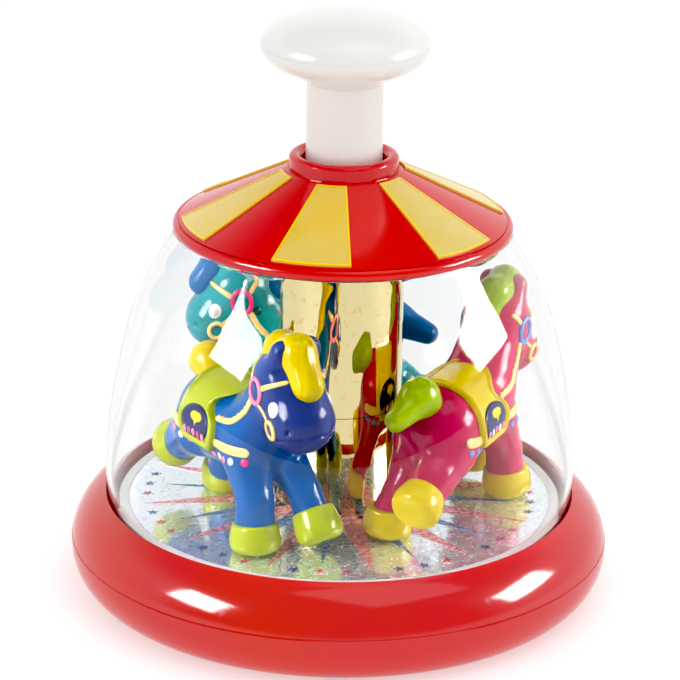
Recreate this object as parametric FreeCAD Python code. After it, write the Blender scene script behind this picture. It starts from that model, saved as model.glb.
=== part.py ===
import FreeCAD, Part
import math
import os

# Press-and-spin carousel toy. Millimetres, +Z up, origin under the centre of the base.
# Pushing the knob drives a nut down a helical screw, which turns the horse platform.

# ---------------------------------------------------------------- driving dimensions
BASE_RADIUS = 85.0
TOTAL_HEIGHT = 186.0
SEAM_Z = 16.6
CREASE_RADIUS = 73.9
CREASE_Z = 30.8
FLOOR_Z = 28.4
WALL = 2.2
HORSE_COUNT = 3
HORSE_RADIUS = 38.3
HORSE_START_ANGLE = -58.4
TRAVEL = 22.0
SCREW_LEAD = 22.0
GAP = 0.4

# base
FOOT_HEIGHT = 1.2
FLOOR_PLATE = 2.2
BASE_WIDEST_Z = 14.0
LOWER_BULGE = 14.7
UPPER_BULGE = 18.3
SHELF_Z = 22.0
SHELF_RADIUS = 65.0
BASE_SCREW_RADIUS = 75.4
BASE_SCREW_COUNT = 6

# clear dome
DOME_WALL = 1.6
DOME_FOOT_RADIUS = CREASE_RADIUS - 0.6
DOME_TOP_RADIUS = 51.3
DOME_TOP_Z = 117.0
DOME_HOLE_RADIUS = 22.5
DOME_SCREW_RADIUS = 68.2

# canopy
RIM_RADIUS = 52.5
RIM_Z = DOME_TOP_Z
RIM_HEIGHT = 3.4
CONE_LOW = (50.6, 120.2)
CONE_HIGH = (17.6, 136.2)
COLLAR_RADIUS = 16.9
COLLAR_HOLE_RADIUS = 12.9
COLLAR_TOP_Z = 141.0
BUSH_SOCKET_RADIUS = 16.5
BUSH_SOCKET_Z = 135.0
SLEEVE_TOP_Z = 128.0
PANEL_COUNT = 6
PANEL_WIDTH_DEG = 28.0
PANEL_START_ANGLE = -11.0
PANEL_THICKNESS = 0.5
CANOPY_SCREW_RADIUS = 42.0

# plunger
STEM_RADIUS = 11.8
STEM_BORE = 9.6
STOP_RADIUS = 14.2
STOP_HEIGHT = 6.6
KNOB_RADIUS = 25.9
KNOB_HALF_HEIGHT = 10.9
KNOB_SEAM = 0.03
KNOB_MID_Z = TOTAL_HEIGHT - KNOB_HALF_HEIGHT
KNOB_NECK_Z = 163.6
NUT_HEIGHT = 13.0
KEY_WIDTH = 3.0
KEY_DEPTH = 1.2

# screw drive
SCREW_RADIUS = 6.0
JOURNAL_RADIUS = 4.0
NOTCH_DEG = 28.0
NOTCH_FLOOR = 4.4
SECTION_COUNT = 40
SCREW_TOP_Z = 126.0
NUT_BORE = SCREW_RADIUS + GAP
PIN_RADIUS = 0.9
PIN_TIP_RADIUS = 5.2

# turning platform
TABLE_RADIUS = 70.2
TABLE_THICKNESS = 2.0
FOIL_RADIUS = 66.7
FOIL_THICKNESS = 0.4
TABLE_TOP_Z = FLOOR_Z - FOIL_THICKNESS
COLUMN_RADIUS = 19.2
COLUMN_WALL = 1.0
COLUMN_SEAM_Z = 61.0
COLUMN_TOP_Z = 123.0
HUB_RADIUS = 10.0
HUB_BORE = 7.3
HUB_BOTTOM_Z = 18.0
HUB_TOP_Z = 38.0
RATCHET_TEETH = 12

UP = FreeCAD.Vector(0, 0, 1)
PARTS_DIR = "parts"


# ---------------------------------------------------------------- helpers
def vec(x, y, z=0.0):
    return FreeCAD.Vector(x, y, z)


def tube(outer, inner, z_low, z_high):
    body = Part.makeCylinder(outer, z_high - z_low, vec(0, 0, z_low))
    if inner > 0:
        body = body.cut(Part.makeCylinder(inner, z_high - z_low, vec(0, 0, z_low)))
    return body


def post(radius, x, y, z_low, z_high):
    return Part.makeCylinder(radius, z_high - z_low, vec(x, y, z_low))


def on_circle(radius, count, start=0.0):
    step = 360.0 / count
    angles = [math.radians(start + step * i) for i in range(count)]
    return [(radius * math.cos(a), radius * math.sin(a)) for a in angles]


def line(a, b):
    return Part.LineSegment(vec(a[0], 0, a[1]), vec(b[0], 0, b[1])).toShape()


def arc(a, middle, b):
    return Part.Arc(vec(a[0], 0, a[1]), vec(middle[0], 0, middle[1]), vec(b[0], 0, b[1])).toShape()


def bulge(radius, start_deg, end_deg):
    # arc that is vertical at the widest point of the base
    centre = BASE_RADIUS - radius
    angles = [math.radians(start_deg + (end_deg - start_deg) * t) for t in (0, 0.5, 1)]
    points = [(centre + radius * math.cos(a), BASE_WIDEST_Z + radius * math.sin(a)) for a in angles]
    return points, arc(*points)


def spline(points):
    curve = Part.BSplineCurve()
    curve.interpolate([vec(r, 0, z) for r, z in points])
    return curve.toShape()


def revolve(edges):
    face = Part.Face(Part.Wire(Part.__sortEdges__(edges)))
    solid = face.revolve(vec(0, 0), UP, 360)
    if solid.Volume < 0:
        solid.reverse()
    return solid


def outline(points):
    return [line(points[i], points[(i + 1) % len(points)]) for i in range(len(points))]


def fuse(shapes):
    return shapes[0].multiFuse(shapes[1:]).removeSplitter()


def cut_all(shape, tools):
    for tool in tools:
        shape = shape.cut(tool)
    return shape


def align(shape, origin, direction):
    turn = FreeCAD.Rotation(UP, vec(*direction))
    shape.Placement = FreeCAD.Placement(vec(*origin), turn)
    return shape


def screw(x, y, z_head, length, shank=1.3, head=2.6, head_height=1.8):
    body = post(head, x, y, z_head, z_head + head_height)
    body = body.fuse(post(shank, x, y, z_head + head_height, z_head + head_height + length))
    slot = Part.makeBox(2.6, 0.6, 0.9, vec(x - 1.3, y - 0.3, z_head))
    cross = Part.makeBox(0.6, 2.6, 0.9, vec(x - 0.3, y - 1.3, z_head))
    return body.cut(slot).cut(cross)


def save(name, shape):
    shape.exportStep(os.path.join(PARTS_DIR, name + ".step"))


def group(shapes):
    return Part.makeCompound(shapes)


# ---------------------------------------------------------------- base
def base_screw_places():
    return on_circle(BASE_SCREW_RADIUS, BASE_SCREW_COUNT, 30)


def base_lower_shell():
    inner = BASE_RADIUS - WALL
    plate_top = FOOT_HEIGHT + FLOOR_PLATE
    foot_angle = -math.degrees(math.asin(BASE_WIDEST_Z / LOWER_BULGE))
    outline_points, outer_arc = bulge(LOWER_BULGE, foot_angle, 0)
    foot = outline_points[0][0]
    edges = [outer_arc,
             line((BASE_RADIUS, BASE_WIDEST_Z), (BASE_RADIUS - 0.05, SEAM_Z - 0.3)),
             line((BASE_RADIUS - 0.05, SEAM_Z - 0.3), (BASE_RADIUS - 0.4, SEAM_Z)),
             line((BASE_RADIUS - 0.4, SEAM_Z), (inner - 0.1, SEAM_Z)),
             line((inner - 0.1, SEAM_Z), (inner, BASE_WIDEST_Z)),
             arc((inner, BASE_WIDEST_Z), (80.6, 6.4), (foot - 0.6, plate_top)),
             line((foot - 0.6, plate_top), (0, plate_top)),
             line((0, plate_top), (0, FOOT_HEIGHT)),
             line((0, FOOT_HEIGHT), (68, FOOT_HEIGHT)),
             line((68, FOOT_HEIGHT), (69, 0)),
             line((69, 0), (foot, 0))]
    solids = [revolve(edges), tube(9, 0, plate_top - 0.5, 11)]
    for i in range(BASE_SCREW_COUNT):
        rib = Part.makeBox(62, 2, 5, vec(7, -1, plate_top - 0.5))
        rib.rotate(vec(0, 0), UP, 360.0 / BASE_SCREW_COUNT * i)
        solids.append(rib)
    solids += [post(4.5, x, y, plate_top - 0.2, 8) for x, y in base_screw_places()]
    shell = fuse(solids)
    bore = Part.makeCylinder(5.2, 20, vec(0, 0, 4.2))
    holes = [post(1.6, x, y, -1, 9) for x, y in base_screw_places()]
    sinks = [post(3.0, x, y, -1, 4.2) for x, y in base_screw_places()]
    return cut_all(shell, [bore] + holes + sinks)


def base_upper_ring():
    seam_angle = math.degrees(math.asin((SEAM_Z + 0.3 - BASE_WIDEST_Z) / UPPER_BULGE))
    lip_angle = math.degrees(math.asin((CREASE_Z - BASE_WIDEST_Z) / UPPER_BULGE))
    ends, outer_arc = bulge(UPPER_BULGE, seam_angle, lip_angle)
    lip = ends[2]
    edges = [line((BASE_RADIUS - 0.4, SEAM_Z), ends[0]),
             outer_arc,
             line(lip, (lip[0], SHELF_Z)),
             line((lip[0], SHELF_Z), (SHELF_RADIUS, SHELF_Z)),
             line((SHELF_RADIUS, SHELF_Z), (SHELF_RADIUS, SHELF_Z - WALL)),
             line((SHELF_RADIUS, SHELF_Z - WALL), (76.1, SHELF_Z - WALL)),
             line((76.1, SHELF_Z - WALL), (76.1, 26.0)),
             arc((76.1, 26.0), (80.2, 21.8), (82.7, SEAM_Z)),
             line((82.7, SEAM_Z), (BASE_RADIUS - 0.4, SEAM_Z))]
    solids = [revolve(edges)]
    solids += [post(3.4, x, y, 8, SHELF_Z - 0.5) for x, y in base_screw_places()]
    ring = fuse(solids)
    pilots = [post(1.3, x, y, 7, 18) for x, y in base_screw_places()]
    pilots += [post(1.3, x, y, SHELF_Z - 6, SHELF_Z + 1) for x, y in dome_screw_places()]
    return cut_all(ring, pilots)


def base_screws():
    return group([screw(x, y, 2.4, 13) for x, y in base_screw_places()])


def bearing_bush():
    return tube(5.2, JOURNAL_RADIUS + 0.05, 4.2, 11).fuse(tube(8, JOURNAL_RADIUS + 0.05, 11, 12))


# ---------------------------------------------------------------- dome
def dome_screw_places():
    return on_circle(DOME_SCREW_RADIUS, 3, 0)


def dome_profile(inset):
    points = [(DOME_FOOT_RADIUS, CREASE_Z), (73.9, 41), (72.0, 61), (66.4, 87),
              (60.6, 101), (DOME_TOP_RADIUS, DOME_TOP_Z)]
    return [(r - inset, z) for r, z in points]


def dome_solid(inset, z_low, z_high):
    points = dome_profile(inset)
    low = points[0]
    high = points[-1]
    edges = [line((0, z_low), (low[0], z_low)), line((low[0], z_low), low), spline(points),
             line(high, (0, high[1])), line((0, high[1]), (0, z_low))]
    solid = revolve(edges)
    keep = Part.makeCylinder(BASE_RADIUS, z_high - z_low, vec(0, 0, z_low))
    return solid.common(keep)


def dome():
    shell = dome_solid(0, SHELF_Z, DOME_TOP_Z)
    shell = shell.cut(dome_solid(DOME_WALL, SHELF_Z, DOME_TOP_Z - DOME_WALL))
    flange = tube(DOME_FOOT_RADIUS - 0.5, SHELF_RADIUS + 0.6, SHELF_Z, SHELF_Z + 1.8)
    shell = shell.fuse(flange).removeSplitter()
    holes = [post(DOME_HOLE_RADIUS, 0, 0, 110, 120)]
    holes += [post(1.5, x, y, SHELF_Z - 1, SHELF_Z + 3) for x, y in dome_screw_places()]
    holes += [post(1.5, x, y, 110, 120) for x, y in canopy_screw_places()]
    return cut_all(shell, holes)


def dome_screws():
    screws = []
    for x, y in dome_screw_places():
        item = screw(0, 0, 0, 5, head=1.9, head_height=1.2)
        item.rotate(vec(0, 0), vec(1, 0), 180)
        item.translate(vec(x, y, SHELF_Z + 3.0))
        screws.append(item)
    return group(screws)


# ---------------------------------------------------------------- canopy
def canopy_screw_places():
    return on_circle(CANOPY_SCREW_RADIUS, PANEL_COUNT, 0)


def sleeve_screw_places():
    return on_circle(21.5, 3, 30)


def cone_height(radius):
    low_r, low_z = CONE_LOW
    high_r, high_z = CONE_HIGH
    return low_z + (high_z - low_z) * (low_r - radius) / (low_r - high_r)


def canopy():
    groove_z = RIM_Z + RIM_HEIGHT
    edges = [line((49.6, RIM_Z), (RIM_RADIUS - 0.6, RIM_Z)),
             arc((RIM_RADIUS - 0.6, RIM_Z), (RIM_RADIUS, RIM_Z + 1.5), (RIM_RADIUS - 1.1, groove_z - 0.4)),
             line((RIM_RADIUS - 1.1, groove_z - 0.4), (CONE_LOW[0], groove_z - 0.6)),
             line((CONE_LOW[0], groove_z - 0.6), CONE_LOW),
             line(CONE_LOW, CONE_HIGH),
             line(CONE_HIGH, (COLLAR_RADIUS, CONE_HIGH[1])),
             line((COLLAR_RADIUS, CONE_HIGH[1]), (COLLAR_RADIUS, COLLAR_TOP_Z - 1)),
             arc((COLLAR_RADIUS, COLLAR_TOP_Z - 1), (16.0, COLLAR_TOP_Z),
                 (COLLAR_HOLE_RADIUS + 0.6, COLLAR_TOP_Z - 0.5)),
             line((COLLAR_HOLE_RADIUS + 0.6, COLLAR_TOP_Z - 0.5), (COLLAR_HOLE_RADIUS, COLLAR_TOP_Z - 1.2)),
             line((COLLAR_HOLE_RADIUS, COLLAR_TOP_Z - 1.2), (COLLAR_HOLE_RADIUS, BUSH_SOCKET_Z)),
             line((COLLAR_HOLE_RADIUS, BUSH_SOCKET_Z), (BUSH_SOCKET_RADIUS, BUSH_SOCKET_Z)),
             line((BUSH_SOCKET_RADIUS, BUSH_SOCKET_Z), (BUSH_SOCKET_RADIUS, SLEEVE_TOP_Z)),
             line((BUSH_SOCKET_RADIUS, SLEEVE_TOP_Z), (25, SLEEVE_TOP_Z)),
             line((25, SLEEVE_TOP_Z), (25, cone_height(25) - WALL)),
             line((25, cone_height(25) - WALL), (49.6, CONE_LOW[1] - 1.4)),
             line((49.6, CONE_LOW[1] - 1.4), (49.6, RIM_Z))]
    solids = [revolve(edges)]
    top = cone_height(CANOPY_SCREW_RADIUS + 3.2) - 1.0
    solids += [post(3.2, x, y, RIM_Z, top) for x, y in canopy_screw_places()]
    shell = fuse(solids)
    pilots = [post(1.3, x, y, RIM_Z - 1, top - 1) for x, y in canopy_screw_places()]
    pilots += [post(1.3, x, y, SLEEVE_TOP_Z - 1, SLEEVE_TOP_Z + 3) for x, y in sleeve_screw_places()]
    return cut_all(shell, pilots)


def canopy_panel(angle):
    inner = 18.8
    outer = 49.6
    points = [(inner, cone_height(inner)), (outer, cone_height(outer)),
              (outer, cone_height(outer) + PANEL_THICKNESS), (inner, cone_height(inner) + PANEL_THICKNESS)]
    face = Part.Face(Part.Wire(Part.__sortEdges__(outline(points))))
    start = angle - 90 - PANEL_WIDTH_DEG / 2
    face.rotate(vec(0, 0), UP, start)
    return face.revolve(vec(0, 0), UP, PANEL_WIDTH_DEG)


def canopy_panels():
    step = 360.0 / PANEL_COUNT
    return group([canopy_panel(PANEL_START_ANGLE + step * i) for i in range(PANEL_COUNT)])


def canopy_screws():
    return group([screw(x, y, DOME_TOP_Z - DOME_WALL - 1.8, 5) for x, y in canopy_screw_places()])


def key_bars(radius, width, z_low, z_high):
    bar = Part.makeBox(2 * radius, width, z_high - z_low, vec(-radius, -width / 2, z_low))
    return bar


def guide_sleeve():
    bottom = 80
    sleeve = tube(16.6, 14.6, bottom, SLEEVE_TOP_Z).fuse(tube(25, 14.6, SLEEVE_TOP_Z - 2, SLEEVE_TOP_Z))
    keyway = key_bars(STOP_RADIUS + KEY_DEPTH + GAP, KEY_WIDTH + 2 * GAP, bottom - 1, SLEEVE_TOP_Z + 1)
    holes = [post(1.5, x, y, SLEEVE_TOP_Z - 3, SLEEVE_TOP_Z + 1) for x, y in sleeve_screw_places()]
    return cut_all(sleeve, [keyway] + holes)


def sleeve_screws():
    return group([screw(x, y, SLEEVE_TOP_Z - 3.2, 3.8, head_height=1.2, head=2.0)
                  for x, y in sleeve_screw_places()])


def guide_bush():
    return tube(BUSH_SOCKET_RADIUS - 0.05, STEM_RADIUS + 0.08, SLEEVE_TOP_Z, BUSH_SOCKET_Z)


# ---------------------------------------------------------------- plunger
def quarter(inset, z_edge, side):
    # ellipse arc from the seam edge to the axis, on the upper (1) or lower (-1) side
    wide = KNOB_RADIUS - inset
    high = KNOB_HALF_HEIGHT - inset
    angles = [math.asin((z_edge - KNOB_MID_Z) / high), math.pi / 2 * side]
    flat_arc = Part.ArcOfEllipse(Part.Ellipse(vec(0, 0), wide, high), min(angles), max(angles))
    edge = flat_arc.toShape().toNurbs().Edges[0]
    edge.rotate(vec(0, 0), vec(1, 0), 90)
    edge.translate(vec(0, 0, KNOB_MID_Z))
    return edge, (wide * math.cos(angles[0]), z_edge), (0, KNOB_MID_Z + side * high)


def knob_shell(z_edge, side):
    outer, outer_rim, outer_pole = quarter(0, z_edge, side)
    inner, inner_rim, inner_pole = quarter(WALL, z_edge, side)
    return revolve([outer, line(outer_rim, inner_rim), inner, line(inner_pole, outer_pole)])


def knob_cap():
    spigot = tube(8.6, 6.4, KNOB_MID_Z + 1, TOTAL_HEIGHT - 1.2)
    return knob_shell(KNOB_MID_Z + KNOB_SEAM / 2, 1).fuse(spigot).removeSplitter()


def knob_base():
    bore = STEM_RADIUS + 0.05
    neck = [arc((bore, KNOB_NECK_Z), (14.2, 165.4), (17.4, 167.2)),
            line((17.4, 167.2), (bore, 167.2)),
            line((bore, 167.2), (bore, KNOB_NECK_Z))]
    shell = knob_shell(KNOB_MID_Z - KNOB_SEAM / 2, -1).fuse(revolve(neck)).removeSplitter()
    return shell.cut(post(bore, 0, 0, KNOB_NECK_Z - 3, KNOB_MID_Z + 3))


def stem():
    stop_low = SLEEVE_TOP_Z - GAP - STOP_HEIGHT
    stop_high = SLEEVE_TOP_Z - GAP
    keys = key_bars(STOP_RADIUS + KEY_DEPTH, KEY_WIDTH, stop_low, stop_high)
    keys = keys.cut(post(STEM_RADIUS - 1, 0, 0, stop_low - 1, stop_high + 1))
    body = fuse([tube(STEM_RADIUS, STEM_BORE, stop_low, KNOB_MID_Z - 1),
                 tube(STOP_RADIUS, STEM_BORE, stop_low, stop_high), keys])
    top_plate = tube(STEM_BORE + 0.5, 0, KNOB_MID_Z - 3, KNOB_MID_Z - 1)
    return body.fuse(top_plate).removeSplitter()


def nut_top_z():
    return SLEEVE_TOP_Z - GAP - STOP_HEIGHT


def pin_z():
    return nut_top_z() - NUT_HEIGHT / 2


def drive_nut():
    top = nut_top_z()
    body = tube(11.4, NUT_BORE, top - NUT_HEIGHT, top).fuse(tube(STEM_BORE - 0.05, NUT_BORE, top, top + 4))
    cross = Part.makeCylinder(PIN_RADIUS, 24, vec(-12, 0, pin_z()), vec(1, 0))
    return body.cut(cross)


def nut_pins():
    pins = []
    for side in (-1, 1):
        start = vec(side * PIN_TIP_RADIUS, 0, pin_z())
        pins.append(Part.makeCylinder(PIN_RADIUS, 11.2 - PIN_TIP_RADIUS, start, vec(side, 0)))
    return group(pins)


def return_spring():
    wire = 0.7
    low = 42.0
    high = nut_top_z() - NUT_HEIGHT - wire - 0.1
    helix = Part.makeHelix((high - low) / 9.0, high - low, 9.0)
    helix.translate(vec(0, 0, low))
    ring = Part.Wire(Part.makeCircle(wire, vec(9.0, 0, low), vec(0, 1, 0)))
    return Part.Wire(helix).makePipeShell([ring], True, True)


# ---------------------------------------------------------------- screw drive
def screw_section(z):
    # round rod with two notches, turned to suit its height on the helix
    turn = math.radians(360.0 * (z - pin_z()) / SCREW_LEAD)
    notch = math.radians(NOTCH_DEG)
    corners = (-notch, notch, math.pi - notch, math.pi + notch)
    middles = ((0, NOTCH_FLOOR), (math.pi / 2, SCREW_RADIUS), (math.pi, NOTCH_FLOOR),
               (3 * math.pi / 2, SCREW_RADIUS))
    edges = []
    for index, (angle, radius) in enumerate(middles):
        start = on_rod(corners[index] + turn, SCREW_RADIUS, z)
        end = on_rod(corners[(index + 1) % 4] + turn, SCREW_RADIUS, z)
        edges.append(Part.Arc(start, on_rod(angle + turn, radius, z), end).toShape())
    return Part.Wire(edges)


def on_rod(angle, radius, z):
    return vec(radius * math.cos(angle), radius * math.sin(angle), z)


def drive_screw():
    low = pin_z() - TRAVEL - 10
    rise = (SCREW_TOP_Z - low) / SECTION_COUNT
    sections = [screw_section(low + rise * i) for i in range(SECTION_COUNT + 1)]
    helix = Part.makeLoft(sections, True, False)
    shank = tube(SCREW_RADIUS, 0, 12.3, low)
    return fuse([helix, shank, tube(JOURNAL_RADIUS, 0, 4.6, 12.3)])


def clutch_disc():
    disc = tube(12, SCREW_RADIUS, 12.4, 15.2)
    arms = []
    for i in range(3):
        arm = Part.makeBox(8.5, 1.6, 2.8, vec(2.5, 10.2, 12.4))
        arm.rotate(vec(0, 0), UP, 120 * i)
        arms.append(arm)
    shape = fuse([disc] + arms)
    return shape.cut(post(SCREW_RADIUS, 0, 0, 10, 20)).common(tube(14.8, 0, 10, 20))


def thrust_washer():
    return tube(9.6, SCREW_RADIUS + 0.1, 15.4, 17.8)


def retaining_clip():
    return tube(9.0, SCREW_RADIUS, HUB_TOP_Z + GAP, HUB_TOP_Z + 1.4)


def spring_washer():
    return tube(11.0, SCREW_RADIUS + 0.1, HUB_TOP_Z + 1.6, HUB_TOP_Z + 3.0)


# ---------------------------------------------------------------- turning platform
def flywheel_screw_places():
    return on_circle(61.5, 3, 15)


def turntable():
    low = TABLE_TOP_Z - TABLE_THICKNESS
    rim = tube(TABLE_RADIUS, FOIL_RADIUS + 0.3, low, FLOOR_Z)
    hub = tube(HUB_RADIUS, HUB_BORE, HUB_BOTTOM_Z, HUB_TOP_Z)
    plate = tube(TABLE_RADIUS, HUB_BORE, low, TABLE_TOP_Z)
    spigot = tube(COLUMN_RADIUS - COLUMN_WALL - 0.1, 16.6, low, TABLE_TOP_Z + 6)
    skirt = tube(20, 18.2, HUB_BOTTOM_Z, low + 0.5)
    body = fuse([plate, rim, hub, spigot, skirt])
    holes = [post(1.45, x, y, 20, TABLE_TOP_Z + 1) for x, y in flywheel_screw_places()]
    return cut_all(body, holes + horse_screw_holes())


def floor_foil():
    disc = tube(FOIL_RADIUS, COLUMN_RADIUS + 0.15, TABLE_TOP_Z, FLOOR_Z)
    return cut_all(disc, horse_screw_holes())


def column_lower():
    return tube(COLUMN_RADIUS, COLUMN_RADIUS - COLUMN_WALL, TABLE_TOP_Z, COLUMN_SEAM_Z - 0.1)


def column_upper():
    inner = COLUMN_RADIUS - COLUMN_WALL
    wall = tube(COLUMN_RADIUS, inner, COLUMN_SEAM_Z + 0.1, COLUMN_TOP_Z)
    spigot = tube(inner - 0.05, inner - 1.0, COLUMN_SEAM_Z - 7, COLUMN_SEAM_Z + 3)
    bridge = tube(inner + 0.2, inner - 1.0, COLUMN_SEAM_Z + 0.1, COLUMN_SEAM_Z + 3)
    return fuse([wall, spigot, bridge])


def flywheel_ring():
    low = TABLE_TOP_Z - TABLE_THICKNESS - 5
    ring = tube(65, 58, low, low + 5)
    holes = [post(1.45, x, y, low - 1, low + 6) for x, y in flywheel_screw_places()]
    return cut_all(ring, holes)


def flywheel_screws():
    low = TABLE_TOP_Z - TABLE_THICKNESS - 5
    return group([screw(x, y, low - 1.8, 6.6) for x, y in flywheel_screw_places()])


def hub_bush():
    return tube(HUB_BORE - 0.02, SCREW_RADIUS + 0.06, HUB_BOTTOM_Z, HUB_TOP_Z)


def ratchet_ring():
    low = 12.5
    ring = tube(20, 17.6, low, HUB_BOTTOM_Z)
    teeth = []
    for i in range(RATCHET_TEETH):
        corners = [vec(17.9, -2.2), vec(17.9, 2.2), vec(15.7, 2.0)]
        face = Part.Face(Part.makePolygon(corners + corners[:1]))
        tooth = face.extrude(vec(0, 0, HUB_BOTTOM_Z - low))
        tooth.translate(vec(0, 0, low))
        tooth.rotate(vec(0, 0), UP, 360.0 / RATCHET_TEETH * i)
        teeth.append(tooth)
    return fuse([ring] + teeth)


# ---------------------------------------------------------------- horses
# Horse frame: X forward, Y towards the column, Z up from the platform, before it is placed.
HORSE_WALL = 1.8
HOOF_HEIGHT = 9.0
ANKLE_RADIUS = 10.0
TORSO = ((-7, 0, 32.5), (14, 0, 33.0), 14.1, 13.2)
NECK = ((21, 0, 39), (32, 0, 55), 11.4, 9.2)
HEAD = ((32.5, 0, 56.6), (40.2, 0, 45.8), 10.1, 9.7)
EAR = ((33.8, 4.9, 61.5), (36.6, 4.7, 67.0), 3.8, 3.4)
LEGS = {
    "front_outer": [((19.5, -6, 27), 7.5), ((25.5, -7.0, 16), 5.6), ((26.5, -7.6, 6), 6.4)],
    "front_inner": [((20.5, 5, 27), 7.2), ((29.5, 7.6, 18), 5.0), ((34.3, 8.2, 10.5), 5.6)],
    "rear_outer": [((-11, -5, 27), 9.0), ((-20, -5, 21.5), 6.8), ((-25.5, -4.5, 17.5), 6.4)],
    "rear_inner": [((-9.5, 5, 25), 8.3), ((-16, 7, 14), 5.8), ((-21.5, 8.8, 6), 6.4)],
}
HOOF_TOP_RADIUS = 6.9
HOOF_RADIUS = 7.9
HOOF_EDGE_RADIUS = 7.5
HOOF_SOLE_RADIUS = 6.0
HOOVES = {
    "front_outer": ((26.8, -7.7, HOOF_HEIGHT), (0, 0, -1)),
    "front_inner": ((33.4, 8.3, 12.95), (0.565, 0.047, -0.824)),
    "rear_outer": ((-24.7, -4.5, 17.9), (-0.894, 0, -0.447)),
    "rear_inner": ((-21.9, 9.1, HOOF_HEIGHT), (0, 0, -1)),
}
PLANTED = ("front_outer", "rear_inner")
MANE = [((16.5, 0, 47), 3.4), ((22, 0, 56), 4.8), ((29.5, 0, 65.0), 5.4),
        ((37.8, 0, 66.2), 5.6), ((44.2, 0, 58.0), 5.0)]
TAIL = [((-13, 0, 41.5), 4.2), ((-18, 1.2, 45.8), 5.7), ((-29, 3.4, 41.4), 3.7)]
SADDLE_SPAN = (-7.6, 12.1)
SADDLE_LOW_Z = 27.6
SADDLE_THICKNESS = 1.6
BADGE_CENTRE = (2.0, 35.0)
BADGE_RADIUS = 5.6
BADGE_THICKNESS = 0.35


def round_cone(start, end, radius_start, radius_end):
    a = vec(*start)
    b = vec(*end)
    length = (b - a).Length
    lean = (radius_start - radius_end) / length
    rise = math.sqrt(1 - lean * lean)
    low = (radius_start * rise, radius_start * lean)
    high = (radius_end * rise, length + radius_end * lean)
    half_low = math.radians(-90 + 0.5 * (90 + math.degrees(math.asin(lean))))
    half_high = math.radians(90 - 0.5 * (90 - math.degrees(math.asin(lean))))
    low_mid = (radius_start * math.cos(half_low), radius_start * math.sin(half_low))
    high_mid = (radius_end * math.cos(half_high), length + radius_end * math.sin(half_high))
    bottom = (0, -radius_start)
    top = (0, length + radius_end)
    edges = [arc(bottom, low_mid, low), line(low, high), arc(high, high_mid, top), line(top, bottom)]
    return align(revolve(edges), start, (b - a))


def chain(points, inset=0.0):
    links = []
    for (start, r_start), (end, r_end) in zip(points[:-1], points[1:]):
        links.append(round_cone(start, end, r_start - inset, r_end - inset))
    return links


def torso(grow):
    return round_cone(TORSO[0], TORSO[1], TORSO[2] + grow, TORSO[3] + grow)


def horse_form(inset):
    solids = [torso(-inset)]
    for start, end, r_start, r_end in (NECK, HEAD):
        solids.append(round_cone(start, end, r_start - inset, r_end - inset))
    for leg in LEGS.values():
        solids += chain(leg, inset)
    return fuse(solids)


def ears():
    solids = []
    for side in (-1, 1):
        start = (EAR[0][0], EAR[0][1] * side, EAR[0][2])
        end = (EAR[1][0], EAR[1][1] * side, EAR[1][2])
        solids.append(round_cone(start, end, EAR[2], EAR[3]))
    return solids


def hoof(name):
    top = HOOF_HEIGHT
    widest = (HOOF_RADIUS, 0.5 * top)
    sole = (HOOF_SOLE_RADIUS, top)
    edges = [line((0, 0), (HOOF_TOP_RADIUS, 0)), line((HOOF_TOP_RADIUS, 0), widest),
             arc(widest, (HOOF_EDGE_RADIUS, 0.85 * top), sole),
             line(sole, (0, top)), line((0, top), (0, 0))]
    origin, direction = HOOVES[name]
    return align(revolve(edges), origin, direction)


def horse_pieces():
    outer = fuse([horse_form(0)] + ears())
    inner = horse_form(HORSE_WALL)
    hooves = {name: hoof(name) for name in HOOVES}
    hoof_block = list(hooves.values())
    pilots = []
    for name in PLANTED:
        x, y, _ = HOOVES[name][0]
        pilots.append(post(1.3, x, y, -5, HOOF_HEIGHT + 1.5))
        hooves[name] = hooves[name].cut(pilots[-1])
    solid_ankles = [Part.makeSphere(ANKLE_RADIUS, vec(*HOOVES[name][0])) for name in HOOVES]
    cavity = cut_all(inner, solid_ankles)
    body = cut_all(outer, hoof_block).cut(cavity)
    body = cut_all(body, pilots)
    mane = fuse(chain(MANE)).cut(outer)
    tail = fuse(chain(TAIL)).cut(outer)
    width = SADDLE_SPAN[1] - SADDLE_SPAN[0]
    band = Part.makeBox(width, 60, 60, vec(SADDLE_SPAN[0], -30, SADDLE_LOW_Z))
    wrap = torso(SADDLE_THICKNESS)
    saddle = wrap.common(band).cut(outer).cut(mane)
    patch = Part.makeCylinder(BADGE_RADIUS, 60, vec(BADGE_CENTRE[0], -30, BADGE_CENTRE[1]), vec(0, 1))
    badges = torso(SADDLE_THICKNESS + BADGE_THICKNESS).common(patch).cut(wrap)
    return body, mane, tail, saddle, hooves, badges


def main_solids(shape, smallest=1.0):
    solids = [s for s in shape.Solids if s.Volume > smallest]
    return solids[0] if len(solids) == 1 else group(solids)


def placed(shape, index):
    item = shape.copy()
    item.translate(vec(0, -HORSE_RADIUS, FLOOR_Z))
    item.rotate(vec(0, 0), UP, HORSE_START_ANGLE + 360.0 / HORSE_COUNT * index)
    return item


def horse_screw_points():
    points = []
    for index in range(HORSE_COUNT):
        turn = FreeCAD.Rotation(UP, HORSE_START_ANGLE + 360.0 / HORSE_COUNT * index)
        for name in PLANTED:
            x, y, _ = HOOVES[name][0]
            spot = turn.multVec(vec(x, y - HORSE_RADIUS))
            points.append((spot.x, spot.y))
    return points


def horse_screw_holes():
    return [post(1.45, x, y, 20, FLOOR_Z + 1) for x, y in horse_screw_points()]


def horse_screws():
    low = TABLE_TOP_Z - TABLE_THICKNESS - 1.8
    return group([screw(x, y, low, 11) for x, y in horse_screw_points()])


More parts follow.
